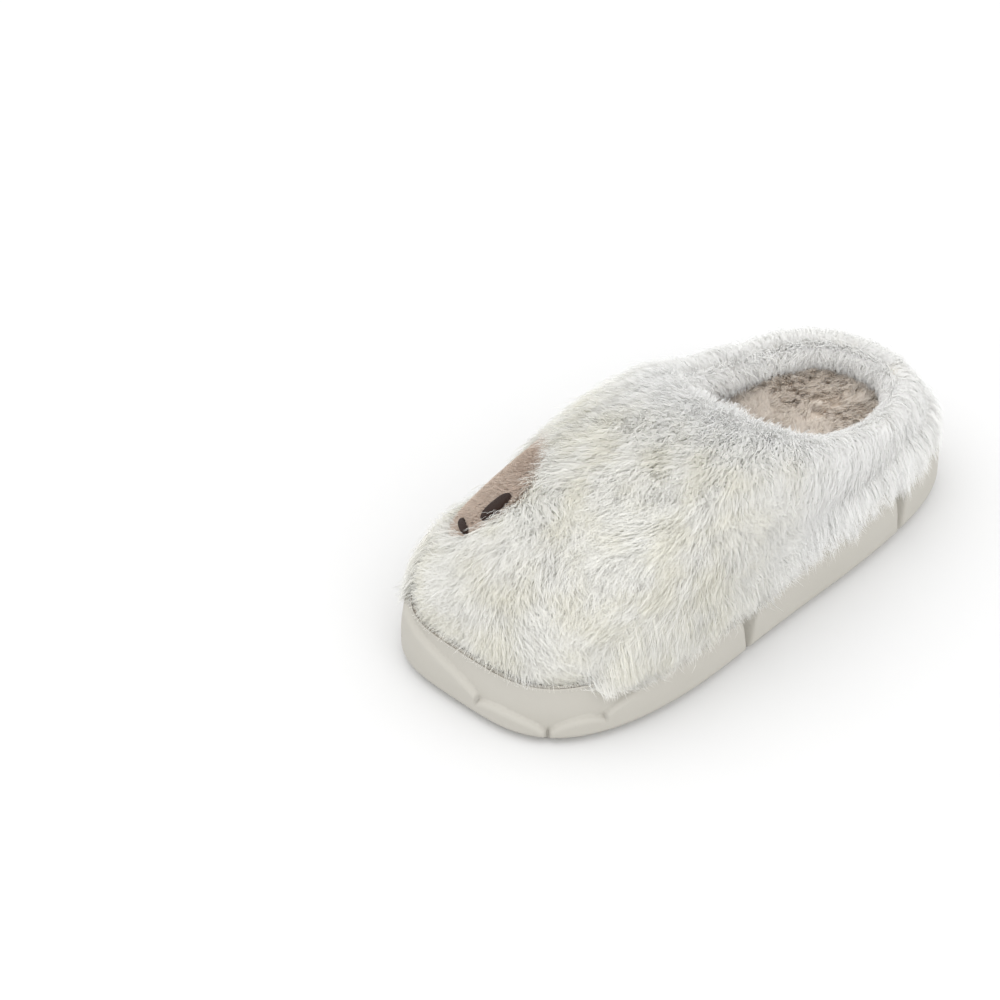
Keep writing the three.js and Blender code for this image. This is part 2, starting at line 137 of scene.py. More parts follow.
RIM_PROFILE = (
    ((4.0, 0.5), (4.1, 0.15), (4.35, 0.0))
    + ((4.5, 0.3), (4.7, 0.75), (5.4, 0.75), (5.6, 0.1))
    + ((5.8, -0.15), (6.2, -0.15), (6.5, 0.1), (6.62, 0.6))
)  # inset and drop below the rim's height: its edge, its groove, and the welt
GROOVE_START = 2  # the rim profile's step where its groove begins
WALL_CLEAR = -3.4  # hair hangs at least this far out, measured from the widest outline
MM = 0.001

# ---- the studio ----
FLOOR_HALF = 6000
FLOOR_GREY = 0.70
WORLD_STRENGTH = 1.36
LAMPS = (("key", (-0.7, -0.9, 1.9), 2.4, 6), ("fill", (1.3, -0.5, 1.0), 1.6, 5))  # place, size, watts
CAMERA_PLACE = Vector((0.7540, -0.8708, 0.9075))
CAMERA_AIM = Vector((-0.08712, -0.02290, 0.0))
CAMERA_LENS = 125.12
CAMERA_SENSOR = 36


def mix(a, b, share):
    return a + (b - a) * share


def smooth(value):
    share = np.clip(value, 0.0, 1.0)
    return share * share * (3 - 2 * share)


def power(value, exponent):
    return np.sign(value) * np.abs(value) ** exponent


def unit(vectors):
    return vectors / np.maximum(np.linalg.norm(vectors, axis=-1, keepdims=True), 1e-9)


def rim_height(y):
    return mix(RIM_HEIGHT_TOE, RIM_HEIGHT_HEEL, y / SOLE_LENGTH + 0.5)


def seat_height(y):
    return mix(RIM_HEIGHT_TOE - SEAT_DEPTH_TOE, RIM_HEIGHT_HEEL - SEAT_DEPTH_HEEL, y / SOLE_LENGTH + 0.5)


# ---- the sole's outline ----
def measured_outline():
    """Points of the outline and their share of its length."""
    angle = np.linspace(0, 2 * np.pi, 2881)
    toeward = SOLE_LENGTH / 2 * power(np.cos(angle), 2 / OUTLINE_POWER)
    t = toeward / (SOLE_LENGTH / 2)
    side = np.sin(angle)
    middle = (BALL_HALF_WIDTH + HEEL_HALF_WIDTH) / 2
    change = (BALL_HALF_WIDTH - HEEL_HALF_WIDTH) / 2
    waist = np.where(side > 0, WAIST_DEPTH_OUTER, WAIST_DEPTH_INNER)
    half = middle + change * np.tanh(1.6 * t) / np.tanh(1.6) - waist * np.exp(-(((t - 0.1) / 0.35) ** 2))
    x = half * power(side, 2 / OUTLINE_POWER) - TOE_SWING * np.maximum(t, 0) ** 2
    points = np.stack([x, -toeward], axis=1)
    lengths = np.concatenate([[0], np.cumsum(np.linalg.norm(np.diff(points, axis=0), axis=1))])
    return points, lengths / lengths[-1], lengths[-1]


OUTLINE_POINTS, OUTLINE_SHARES, OUTLINE_TOTAL = measured_outline()


def outline_place(share):
    share = np.mod(share, 1.0)
    return np.stack([np.interp(share, OUTLINE_SHARES, OUTLINE_POINTS[:, i]) for i in (0, 1)], axis=-1)


def outline_at(share, inset=0.0):
    """Points of the outline moved inwards by inset, and the outward directions there."""
    step = 0.004
    before = outline_place(share - step)
    along = unit(outline_place(share + step) - before)
    out = np.stack([-along[..., 1], along[..., 0]], axis=-1)
    facing = np.where(np.sum(out * before, axis=-1, keepdims=True) > 0, 1.0, -1.0)
    out = out * facing
    return outline_place(share) - out * np.asarray(inset)[..., None], out


# ---- the upper's surfaces ----
def topline_at(angle):
    toeward = OPENING_CENTRE + OPENING_HALF_LENGTH * power(np.cos(angle), 2 / OPENING_POWER)
    climb = (toeward - OPENING_CENTRE + OPENING_HALF_LENGTH) / (2 * OPENING_HALF_LENGTH)
    x = OPENING_HALF_WIDTH * power(np.sin(angle), 2 / OPENING_POWER)
    z = mix(TOPLINE_HEEL, TOPLINE_INSTEP, np.maximum(climb, 0) ** TOPLINE_CURVE)
    return np.stack([x, -toeward, z], axis=-1)


def upper_curve(u, v, inset, drop, reach, rise):
    """Points at v on the curves that climb from the sole to the topline at u."""
    turn = 2 * np.pi * u
    angle = turn - 0.5 * np.sin(turn)
    front = (1 + np.cos(angle)) / 2
    foot, out = outline_at(u, np.full(np.shape(u), inset))
    base = np.stack([foot[..., 0], foot[..., 1], seat_height(foot[..., 1]) + 0.4], axis=-1)
    top = topline_at(angle)
    top[..., 2] -= mix(drop[0], drop[1], front)
    lift = 0.6 * (top[..., 2] - base[..., 2])
    dent = smooth(1 - np.abs(u - np.round(u) - DENT_U) / DENT_HALF)
    belly = base.copy()
    belly[..., 0] += 0.12 * lift * out[..., 0]
    belly[..., 1] += 0.12 * lift * out[..., 1]
    belly[..., 2] += lift - DENT_BELLY * dent
    spread = mix(reach[0], reach[1], front**3)
    roll = top.copy()
    roll[..., 0] += spread * np.sin(angle)
    roll[..., 1] -= spread * np.cos(angle)
    roll[..., 2] += mix(rise[0], rise[1], front) - DENT_ROLL * dent
    w = np.asarray(v)[..., None]
    return (1 - w) ** 3 * base + 3 * (1 - w) ** 2 * w * belly + 3 * (1 - w) * w * w * roll + w**3 * top


def upper_point(u, v, depth=0.0):
    """A point at a depth between the outside of the fur solid and the inside of the lining."""
    outside = upper_curve(u, v, BASE_INSET, NO_DROP, OUTER_REACH, OUTER_RISE)
    inset = BASE_INSET + WALL_THICKNESS
    inside = upper_curve(u, v, inset, TOPLINE_DROP, INNER_REACH, INNER_RISE)
    return mix(outside, inside, np.asarray(depth)[..., None] / WALL_THICKNESS)


def frame_at(u, v, depth):
    """Place, unit directions round and up the upper, outward normal, and millimetres per u and per v."""
    step = 0.004
    round_it = (upper_point(u + step, v, depth) - upper_point(u - step, v, depth)) / (2 * step)
    low = np.clip(v - step, 0.0, 1 - 2 * step)
    up_it = (upper_point(u, low + 2 * step, depth) - upper_point(u, low, depth)) / (2 * step)
    normal = unit(np.cross(round_it, up_it))
    per_u = np.linalg.norm(round_it, axis=-1)
    per_v = np.linalg.norm(up_it, axis=-1)
    return upper_point(u, v, depth), unit(round_it), unit(up_it), normal, per_u, per_v


def waves(a, b, seed, octaves=3):
    """Smooth noise of about -1 to 1 over two coordinates, with features about one unit wide."""
    rng = np.random.default_rng(seed)
    total = np.zeros(np.shape(a))
    size = 0.0
    for octave in range(octaves):
        for _ in range(4):
            turn = rng.uniform(0, 2 * np.pi)
            pitch = 2 * np.pi * rng.uniform(0.35, 0.7) * 1.9**octave
            phase = rng.uniform(0, 2 * np.pi)
            total += 0.6**octave * np.sin(pitch * (a * np.cos(turn) + b * np.sin(turn)) + phase)
            size += 0.6 ** (2 * octave) / 2
    return total / (2 * np.sqrt(size))


def in_patch(u, v, place, grow_u=0.0, grow_v=0.0):
    """Below 1 inside the rounded patch outline."""
    du = np.abs(u - np.round(u) - place["u"]) / (place["half_u"] + grow_u)
    dv = np.abs(v - place["v"]) / (place["half_v"] + grow_v)
    return du**PATCH_SQUARENESS + dv**PATCH_SQUARENESS


# ---- meshes ----
def show(thing):
    bpy.context.scene.collection.objects.link(thing)
    return thing


def make_object(name, mesh, material):
    mesh.materials.append(material)
    mesh.update()
    piece = show(bpy.data.objects.new(name, mesh))
    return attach(piece, "root")


def mesh_of(name, vertices, faces):
    mesh = bpy.data.meshes.new(name)
    mesh.from_pydata([tuple(p) for p in np.asarray(vertices) * MM], [], faces)
    mesh.polygons.foreach_set("use_smooth", np.ones(len(mesh.polygons), bool))
    return mesh


def grid_faces(columns, rows, closed):
    """Quads over columns of rows points, joined round when closed."""
    faces = []
    for i in range(columns if closed else columns - 1):
        after = (i + 1) % columns
        for j in range(rows - 1):
            faces.append((i * rows + j, after * rows + j, after * rows + j + 1, i * rows + j + 1))
    return faces


def shell_faces(spokes, rings, turned):
    """Faces from a first point over rings of points to a last point. Turned ones face the other way."""
    at = lambda r, i: 1 + r * spokes + i % spokes
    last = 1 + rings * spokes
    faces = []
    for i in range(spokes):
        faces.append((0, at(0, i), at(0, i + 1)))
        for r in range(rings - 1):
            faces.append((at(r, i), at(r + 1, i), at(r + 1, i + 1), at(r, i + 1)))
        faces.append((last, at(rings - 1, i + 1), at(rings - 1, i)))
    return [(face[0], *face[:0:-1]) for face in faces] if turned else faces


def ribbon_mesh(name, spine, width, side, facing, tone):
    """Tapered ribbons, one for each row of spine points, shaded as if they faced along facing. tone is a
    colour per point that the material reads."""
    count, steps = spine.shape[:2]
    turned = np.sum(np.cross(side, np.gradient(spine, axis=1)) * facing, axis=-1, keepdims=True) < 0
    half = np.where(turned, -side, side) * width[..., None] / 2
    pairs = np.stack([spine[:, :-1] - half[:, :-1], spine[:, :-1] + half[:, :-1]], axis=2)
    points = np.concatenate([pairs.reshape(count, -1, 3), spine[:, -1:]], axis=1)
    each = points.shape[1]
    quads = [(2 * k, 2 * k + 1, 2 * k + 3, 2 * k + 2) for k in range(steps - 2)]
    tip = (each - 3, each - 2, each - 1)
    pattern = np.array([i for quad in quads for i in quad] + list(tip))
    sizes = np.array([4] * len(quads) + [3])
    loops = (np.arange(count)[:, None] * each + pattern[None, :]).ravel()
    totals = np.tile(sizes, count)
    starts = np.concatenate([[0], np.cumsum(totals)[:-1]])
    mesh = bpy.data.meshes.new(name)
    mesh.vertices.add(count * each)
    mesh.vertices.foreach_set("co", (points * MM).astype(np.float32).ravel())
    mesh.loops.add(len(loops))
    mesh.loops.foreach_set("vertex_index", loops.astype(np.int32))
    mesh.polygons.add(len(totals))
    mesh.polygons.foreach_set("loop_start", starts.astype(np.int32))
    mesh.polygons.foreach_set("loop_total", totals.astype(np.int32))
    mesh.polygons.foreach_set("use_smooth", np.ones(len(totals), bool))
    tones = np.concatenate([np.repeat(tone[:, :-1], 2, axis=1), tone[:, -1:]], axis=1)
    colour = mesh.attributes.new("strand", "FLOAT_COLOR", "POINT")
    rgba = np.concatenate([tones, np.ones(tones.shape[:2] + (1,))], axis=2)
    colour.data.foreach_set("color", rgba.astype(np.float32).ravel())
    # Each ribbon has its own small cell of the texture square.
    cells = int(np.ceil(np.sqrt(count)))
    across = np.array([0.25, 0.75] * (steps - 1) + [0.5])
    along = np.repeat(np.linspace(0.15, 0.85, steps), 2)[:each]
    cell_x = (np.arange(count) % cells)[:, None] + across[None, :]
    cell_y = (np.arange(count) // cells)[:, None] + along[None, :]
    uv = np.stack([cell_x, cell_y], axis=-1).reshape(-1, 2) / cells
    layer = mesh.uv_layers.new(name="OFBake")
    layer.data.foreach_set("uv", uv[loops].astype(np.float32).ravel())
    normals = np.concatenate([np.repeat(facing[:, :-1], 2, axis=1), facing[:, -1:]], axis=1).reshape(-1, 3)
    mesh.update()
    mesh.normals_split_custom_set_from_vertices(normals.astype(np.float32))
    return mesh


# ---- the fur ----
def scatter(rng, count, v_low, v_high, depth, keep=None):
    """Places spread evenly over the area of the upper."""
    chosen = []
    total = 0
    while total < count:
        u = rng.uniform(-0.5, 0.5, 20000)
        v = rng.uniform(v_low, v_high, 20000)
        _, _, _, _, per_u, per_v = frame_at(u, v, depth)
        area = per_u * per_v
        hit = rng.uniform(0, 1, 20000) < area / area.max()
        if keep is not None:
            hit &= keep(u, v)
        chosen.append(np.stack([u[hit], v[hit]], axis=1))
        total += int(hit.sum())
    return np.concatenate(chosen)[:count].T


def comb_angle(u, v):
    """Which way the fur is combed, as an angle away from straight down the upper."""
    calm = mix(1.0, 0.35, smooth((v - 0.6) / 0.3))
    return calm * (0.95 * waves(u * 13, v * 3.6, 11, 2) + 0.3 * waves(u * 30, v * 9, 12, 2))


def lift_off_lip(points, u):
    """Moves points out of the sole: over its lip, or out past its wall."""
    edge, out = outline_at(u)
    beyond = np.sum((points[..., :2] - edge) * out, axis=-1)
    rim = rim_height(points[..., 1]) + 0.4
    inside = (points[..., 2] < rim) & (beyond < WALL_CLEAR) & (beyond > -12)
    up_by = rim - points[..., 2]
    out_by = WALL_CLEAR - beyond
    raise_it = inside & (up_by <= out_by)
    push_it = inside & ~raise_it
    points[..., 2] = np.where(raise_it, rim, points[..., 2])
    points[..., :2] += out * (np.where(push_it, out_by, 0.0))[..., None]
    return points


def turned_sides(points, normal, rng):
    """Each strand's width direction, tilted at random about the strand."""
    side = unit(np.cross(unit(np.gradient(points, axis=1)), normal))
    tilt = rng.normal(0, 0.5, (len(points), 1, 1))
    return unit(side * np.cos(tilt) + normal * np.sin(tilt))


def sideways(lateral, curl, t, rng):
    """How far a strand has moved sideways at t: it draws towards its lock's middle, and waves a little."""
    wave = curl[:, None] * np.sin(2 * np.pi * (0.8 * t + rng.uniform(0, 1, (len(curl), 1)))) * t
    return -LOCK_DRAW * lateral[:, None] * t**1.3 + wave


def lay_strands(strands, depth, face, rng):
    """Spines that follow the upper: they rise off it, run along the combed direction and hang past its edges.
    face is 1 for fur on the outside and -1 for fur on the inside."""
    u, v, angle, length, height, lateral, curl = strands
    t = np.linspace(0, 1, FUR_STEPS)[None, :]
    _, _, _, _, per_u, per_v = frame_at(u, v, depth)
    run = length[:, None] * (t - 0.12 * np.sin(np.pi * t))
    side_run = sideways(lateral, curl, t, rng)
    down = np.cos(angle)[:, None]
    across = np.sin(angle)[:, None]
    path_v = v[:, None] - (run * down - side_run * across) / per_v[:, None]
    path_u = u[:, None] + (run * across + side_run * down) / per_u[:, None]
    low = HANG_MOST * np.tanh(np.maximum(0.03 - path_v, 0.0) * per_v[:, None] / HANG_MOST)
    low *= 1 - toe_front(path_u)
    high = np.maximum(path_v - 1.0, 0.0) * per_v[:, None]
    place, _, up_it, normal, _, _ = frame_at(path_u, np.clip(path_v, 0.03, 1.0), depth)
    normal = normal * face
    rise = height[:, None] * (1 - (1 - t) ** 1.7)
    points = place + normal * rise[..., None]
    _, out = outline_at(path_u)
    hang = np.concatenate([out * 0.72, np.full(out.shape[:2] + (1,), -0.7)], axis=2)
    points += hang * low[..., None]
    over = unit(up_it + np.array([0, 0, -0.9]))
    points += over * high[..., None] - normal * (0.35 * high)[..., None]
    points[..., 2] -= 0.9 * t**2
    points = lift_off_lip(points, path_u)
    return points, turned_sides(points, normal, rng), normal


def toe_front(u):
    """1 round the front of the toe, where the fur ends neatly above the sole, and 0 elsewhere."""
    return smooth((TOE_FRONT_HALF - np.abs(u - np.round(u) - TOE_FRONT_U)) / 0.02)


def overhang(u):
    """How far the fur hangs below the rim: further round the heel than beside the toe."""
    away = np.abs(u - np.round(u) - TOE_FRONT_U)
    return mix(*OVERHANG, smooth((away - TOE_FRONT_HALF) / 0.25)) * (1 - toe_front(u))


def pile_height(u, v):
    """How tall the fur stands, in shares: tallest on the instep, short round the heel and beside the welt."""
    away = np.abs(u - np.round(u))
    instep = smooth((0.24 - away) / 0.1) * smooth((v - 0.5) / 0.3)
    share = mix(0.85, 0.55, smooth((away - 0.2) / 0.12)) - 0.1 * smooth((away - 0.4) / 0.06) + 0.15 * instep
    beside = mix(0.1, 0.45, smooth((0.46 - away) / 0.1)) * smooth(1 - v / 0.55) * smooth(v / 0.1)
    beside *= 1 - toe_front(u)
    return (share + beside) * (1 - 0.5 * toe_front(u) * smooth(1 - v / 0.2))


def lock_direction(u, v, rng):
    """The combed direction and how far the fur leans over. Near the opening it stands and some turns back."""
    angle = comb_angle(u, v)
    turned = rng.uniform(0, 1, len(u)) < 0.6 * smooth((v - 0.94) / 0.06)
    return np.where(turned, np.pi + 0.6 * angle, angle), mix(1.0, 0.85, smooth((v - 0.7) / 0.25))


def fur_locks(rng, clumps, per_clump):
    """Long locks: strands that start together and draw together towards their tips."""
    not_patch = lambda u, v: in_patch(u, v, PATCH, 0.002, 0.004) > 1
    cu, cv = scatter(rng, clumps, 0.015, 1.0, PELT_DEPTH, not_patch)
    lock_angle, lean = lock_direction(cu, cv, rng)
    lock_angle += rng.normal(0, 0.2, clumps)
    lock_length = rng.uniform(6.5, 11.5, clumps) * lean
    above_patch = in_patch(cu, cv - 0.1, PATCH, 0.01, 0.08) < 1
    lock_length = np.where(above_patch, lock_length * 0.7, lock_length)
    lock_length *= 1 - 0.5 * toe_front(cu) * smooth(1 - cv / 0.2)
    lock_height = np.clip(rng.normal(7.6, 1.1, clumps), 5.0, 10.0) * pile_height(cu, cv)
    lock_shade = rng.normal(0, 1, clumps)
    who = np.repeat(np.arange(clumps), per_clump)
    count = len(who)
    spread_a = rng.normal(0, LOCK_SPREAD, count)
    spread_b = rng.normal(0, LOCK_SPREAD, count)
    _, _, _, _, per_u, per_v = frame_at(cu, cv, PELT_DEPTH)
    u = cu[who] + spread_a / per_u[who]
    v = np.clip(cv[who] + spread_b / per_v[who], 0.01, 1.0)
    angle = lock_angle[who] + rng.normal(0, 0.2, count)
    flyaway = rng.uniform(0, 1, count) < 0.08
    length = lock_length[who] * rng.uniform(0.65, 1.1, count) * np.where(flyaway, 1.15, 1.0)
    height = np.maximum(lock_height[who] + rng.normal(0, 0.8, count), 1.8) * np.where(flyaway, 1.2, 1.0)
    shade = 0.6 * lock_shade[who] + rng.normal(0, 0.7, count)
    lateral = spread_a * np.cos(angle) + spread_b * np.sin(angle)
    strands = (u, v, angle, length, height, lateral, rng.uniform(0.1, 0.45, count))
    return u, v, *lay_strands(strands, PELT_DEPTH, 1, rng), shade


def under_fur(rng, count):
    """The short, dense fur beneath the locks."""
    not_patch = lambda u, v: in_patch(u, v, PATCH, 0.0, 0.0) > 1
    u, v = scatter(rng, count, 0.01, 1.0, PELT_DEPTH, not_patch)
    angle, lean = lock_direction(u, v, rng)
    angle += rng.normal(0, 0.45, count)
    none = np.zeros(count)
    height = rng.uniform(4.6, 7.4, count) * pile_height(u, v)
    strands = (u, v, angle, rng.uniform(3.5, 6.5, count) * lean, height, none, rng.uniform(0.1, 0.4, count))
    return u, v, *lay_strands(strands, PELT_DEPTH, 1, rng), rng.normal(-0.2, 0.7, count)


def fringe_fur(rng, clumps, per_clump):
    """Fur beside the sole, which stands out over the rim and hangs in front of the wall in soft bunches."""
    cu = rng.uniform(-0.5, 0.5, clumps)
    cu = cu[toe_front(cu) < 0.5]
    clumps = len(cu)
    bunch = waves(cu * 70, cu * 9, 51)
    drop = overhang(cu) * (1 + 0.22 * bunch + rng.normal(0, 0.08, clumps))
    reach = FRINGE_REACH + 0.8 * bunch + rng.normal(0, 0.5, clumps)
    sway = 3.0 * waves(cu * 45, cu * 5, 52) + rng.normal(0, 1.0, clumps)
    shade = rng.normal(0, 1, clumps)
    who = np.repeat(np.arange(clumps), per_clump)
    count = len(who)
    spread = rng.normal(0, 1.7, (count, 1))
    u = cu[who] + spread[:, 0] / OUTLINE_TOTAL
    v = rng.uniform(0.01, 0.34, count)
    root = upper_point(u, v, PELT_DEPTH)
    edge, out = outline_at(u)
    along = np.stack([-out[:, 1], out[:, 0]], axis=1)
    t = np.linspace(0, 1, FUR_STEPS)[None, :]
    start = np.sum((root[:, :2] - edge) * out, axis=1)[:, None]
    stop = (reach[who] + rng.normal(0, 0.8, count) - 4.0 * v)[:, None]
    outward = (stop - start) * (1 - (1 - t) ** 1.35)
    tip = rim_height(edge[:, 1]) - drop[who] * rng.uniform(0.5, 1.05, count) + 20 * v
    fall = (root[:, 2] - tip)[:, None] * t**2.1
    lift = 1.2 * np.sin(np.pi * np.minimum(t * 1.2, 1.0))
    drift = sway[who, None] * t**1.5 - LOCK_DRAW * spread * t**1.3
    points = np.empty((count, FUR_STEPS, 3))
    shift = along[:, None, :] * drift[..., None]
    points[..., :2] = root[:, None, :2] + out[:, None, :] * outward[..., None] + shift
    points[..., 2] = root[:, 2:3] + lift - fall
    points = lift_off_lip(points, np.broadcast_to(u[:, None], (count, FUR_STEPS)))
    level = np.broadcast_to(out[:, None, :], (count, FUR_STEPS, 2))
    facing = unit(np.concatenate([level, np.full((count, FUR_STEPS, 1), 0.75)], axis=2))
    side = turned_sides(points, facing, rng)
    return u, v, points, side, facing, 0.6 * shade[who] + rng.normal(0, 0.6, count)


def inner_fur(rng, count):
    """Fur on the turned-in part of the collar, just inside the opening."""
    band = lambda u, v: v > 1 - 0.5 * smooth((np.abs(u) - 0.08) / 0.16) - 0.05
    u, v = scatter(rng, count, 0.5, 1.0, COLLAR_INNER_DEPTH, band)
    angle = 0.5 * waves(u * 30, v * 6, 15) + rng.normal(0, 0.45, count)
    none = np.zeros(count)
    length = rng.uniform(6.0, 10.0, count)
    strands = (u, v, angle, length, rng.uniform(3.0, 6.0, count), none, rng.uniform(0.2, 0.8, count))
    return u, v, *lay_strands(strands, COLLAR_INNER_DEPTH, -1, rng), rng.normal(0, 0.8, count)


def collar_edges(u):
    """The two edges that the collar's roll joins, and the bulge at its top."""
    ones = np.ones(np.shape(u))
    outer_edge = upper_point(u, ones, PELT_DEPTH)
    inner_edge = upper_point(u, ones, COLLAR_INNER_DEPTH)
    half = (outer_edge - inner_edge) / 2
    _, round_it, up_it, _, _, _ = frame_at(u, ones, PELT_DEPTH)
    bulge = unit(up_it) * np.linalg.norm(half, axis=-1, keepdims=True) * 0.8
    return (outer_edge + inner_edge) / 2, half, bulge, round_it, up_it


def collar_fur(rng, count):
    """Fur on the rolled edge, which reaches in over the opening and droops, furthest at the instep."""
    u = rng.uniform(-0.5, 0.5, count)
    root = rng.uniform(0, np.pi, count)[:, None]
    middle, half, bulge, round_it, _ = collar_edges(u)
    radial = half * np.cos(root) + bulge * np.sin(root)
    start = middle + radial
    inward = unit(-half * [1, 1, 0])
    instep = smooth((0.26 - np.abs(u)) / 0.16)
    bunch = waves(u * 40, u * 3, 61)
    reach = mix(*COLLAR_REACH, instep) * (1 + 0.15 * bunch) * rng.uniform(0.6, 1.1, count)
    rise = rng.uniform(1.5, 6.5, count)
    droop = mix(*COLLAR_DROOP, instep) * (1 + 0.15 * bunch) * rng.uniform(0.7, 1.15, count)
    past = (0.35 + 0.65 * root[:, 0] / np.pi)[:, None]
    t = np.linspace(0, 1, FUR_STEPS)[None, :]
    sway = (3.5 * waves(u * 34, u * 4, 62) + rng.normal(0, 3.0, count))[:, None]
    points = start[:, None, :] + inward[:, None, :] * (reach[:, None] * past * t)[..., None]
    points += unit(radial)[:, None, :] * (rise[:, None] * (1 - (1 - t) ** 2))[..., None]
    points += round_it[:, None, :] * (sway * t**1.4)[..., None]
    points[..., 2] -= droop[:, None] * past * t**2
    fading = unit(radial)[:, None, :] * (1 - 0.6 * t)[..., None]
    facing = unit(fading + 0.4 * inward[:, None, :] + [0, 0, 0.9])
    v = np.ones(count)
    return u, v, points, turned_sides(points, facing, rng), facing, rng.normal(0.2, 0.7, count)


def strand_tone(count, steps, shade, warmth=None):
    """Colour channels for the material: share along the strand, its own shade, and how warm its colour is."""
    along = np.tile(np.linspace(0, 1, steps), (count, 1))
    own = np.tile(0.5 + 0.16 * np.clip(shade, -3, 3)[:, None], (1, steps))
    if warmth is None:
        warmth = np.mod(np.arange(count) * 0.618034, 1.0)
    return np.stack([along, own, np.tile(warmth[:, None], (1, steps))], axis=2)


def cream_clouds(u, v, rng):
    """Soft cream patches over the vamp. The fur round the heel and the opening is whiter."""
    vamp = smooth((0.3 - np.abs(u)) / 0.14) * smooth((0.95 - v) / 0.2)
    cloud = smooth(0.35 + 0.75 * waves(u * 42, v * 9, 71) + 0.35 * waves(u * 16, v * 4, 72))
    return np.clip(0.08 + vamp * (0.34 + 0.58 * cloud) + rng.normal(0, 0.06, len(u)), 0, 1)


def taper(count, steps, width, rng):
    profile = np.interp(np.linspace(0, 1, steps), [0, 0.35, 0.8, 1], [0.8, 1.0, 0.7, 0.1])
    return width * rng.uniform(0.75, 1.25, (count, 1)) * profile[None, :]


def make_fur(material):
    """All the fur, in sectors round the slipper."""
    rng = np.random.default_rng(5)
    kinds = (
        fur_locks(rng, LOCKS, STRANDS_PER_LOCK),
        under_fur(rng, UNDER_STRANDS),
        fringe_fur(rng, BUNCHES, STRANDS_PER_BUNCH),
        inner_fur(rng, INNER_STRANDS),
        collar_fur(rng, COLLAR_STRANDS),
    )
    u, v, spine, side, facing, shade = (np.concatenate(parts) for parts in zip(*kinds))
    warmth = cream_clouds(u, v, rng)
    order = np.argsort(np.mod(u, 1.0))
    for number, rows in enumerate(np.array_split(order, FUR_SECTORS)):
        name = f"fur_sector_{number + 1}"
        width = taper(len(rows), FUR_STEPS, FUR_WIDTH, rng)
        tone = strand_tone(len(rows), FUR_STEPS, shade[rows], warmth[rows])
        mesh = ribbon_mesh(name, spine[rows], width, side[rows], facing[rows], tone)
        make_object(name, mesh, material)


# ---- the fur's backing and the collar ----
def make_pelt(name, node, first, last, columns, material):
    """The fur's backing from the sole up, rolled over the edge of the opening as a soft collar."""
    u = np.linspace(first, last, columns)[:, None]
    v = np.linspace(0, 1, 40)[None, :]
    grid_u, grid_v = np.broadcast_arrays(u, v)
    outer = upper_point(grid_u, grid_v, PELT_DEPTH)
    middle, half, bulge, _, _ = collar_edges(u[:, 0])
    turns = np.linspace(0, np.pi, 9)[1:-1]
    arc = np.stack([middle + half * np.cos(a) + bulge * np.sin(a) for a in turns], axis=1)
    down = np.linspace(1, 0, 24)[None, :]
    grid_u, grid_v = np.broadcast_arrays(u, down)
    inner = upper_point(grid_u, grid_v, COLLAR_INNER_DEPTH)
    sheet = np.concatenate([outer, arc, inner], axis=1)
    rows = sheet.shape[1]
    faces = grid_faces(columns, rows, False)
    for i in range(columns - 1):
        faces.append((i * rows, i * rows + rows - 1, (i + 1) * rows + rows - 1, (i + 1) * rows))
    faces.append(tuple(range(rows - 1, -1, -1)))
    faces.append(tuple((columns - 1) * rows + j for j in range(rows)))
    piece = make_object(name, mesh_of(name, sheet.reshape(-1, 3), faces), material)
    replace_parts(piece, node)


# ---- sherpa ----
def tufts(rng, root, normal, lean, per_tuft, spread, length, steps, curl):
    """Curly tufts of fleece: short strands that coil round their tuft's own leaning line."""
    count = len(root)
    across = unit(np.cross(normal, lean))
    who = np.repeat(np.arange(count), per_tuft)
    total = len(who)
    t = np.linspace(0, 1, steps)[None, :, None]
    offset = (
        lean[who] * rng.normal(0, spread, (total, 1)) + across[who] * rng.normal(0, spread, (total, 1))
    )[:, None, :]
    reach = (length[who] * rng.uniform(0.75, 1.15, total))[:, None, None]
    axis = normal[who][:, None, :] * (0.62 * t**0.8) + lean[who][:, None, :] * (0.72 * t**1.2)
    phase = (rng.uniform(0, 2 * np.pi, count)[who] + rng.normal(0, 0.5, total))[:, None, None]
    turn = phase + 2 * np.pi * 0.9 * t
    coil = across[who][:, None, :] * np.cos(turn) + lean[who][:, None, :] * 0.5 * np.sin(turn)
    spine = root[who][:, None, :] + offset * (1 - 0.45 * t) + axis * reach + coil * curl * t**0.6
    facing = unit(np.broadcast_to(normal[who][:, None, :], spine.shape) + 0.5 * coil)
    side = turned_sides(spine, facing, rng)
    shade = rng.normal(0, 1, count)[who] + rng.normal(0, 0.45, total)
    return spine, side, facing, shade


def footwell_ring(count, lift, depth):
    """The ring where a plane above the seat meets the upper at a depth."""
    u = np.linspace(0, 1, count, endpoint=False)
    low = np.zeros(count)
    high = np.full(count, 0.5)
    for _ in range(24):
        middle = (low + high) / 2
        place = upper_point(u, middle, depth)
        under = place[:, 2] < seat_height(place[:, 1]) + lift
        low = np.where(under, middle, low)
        high = np.where(under, high, middle)
    place = upper_point(u, low, depth)
    return place[:, :2]


def insock_height(x, y):
    """The sherpa's backing: the seat's slope, a shallow hollow for the foot and a slow unevenness."""
    hollow = 1.6 * np.exp(-((x / 26) ** 2)) * smooth((y + 60) / 40)
    return seat_height(y) + INSOCK_TOP - 3.0 - hollow + 0.5 * waves(x / 22, y / 22, 31)


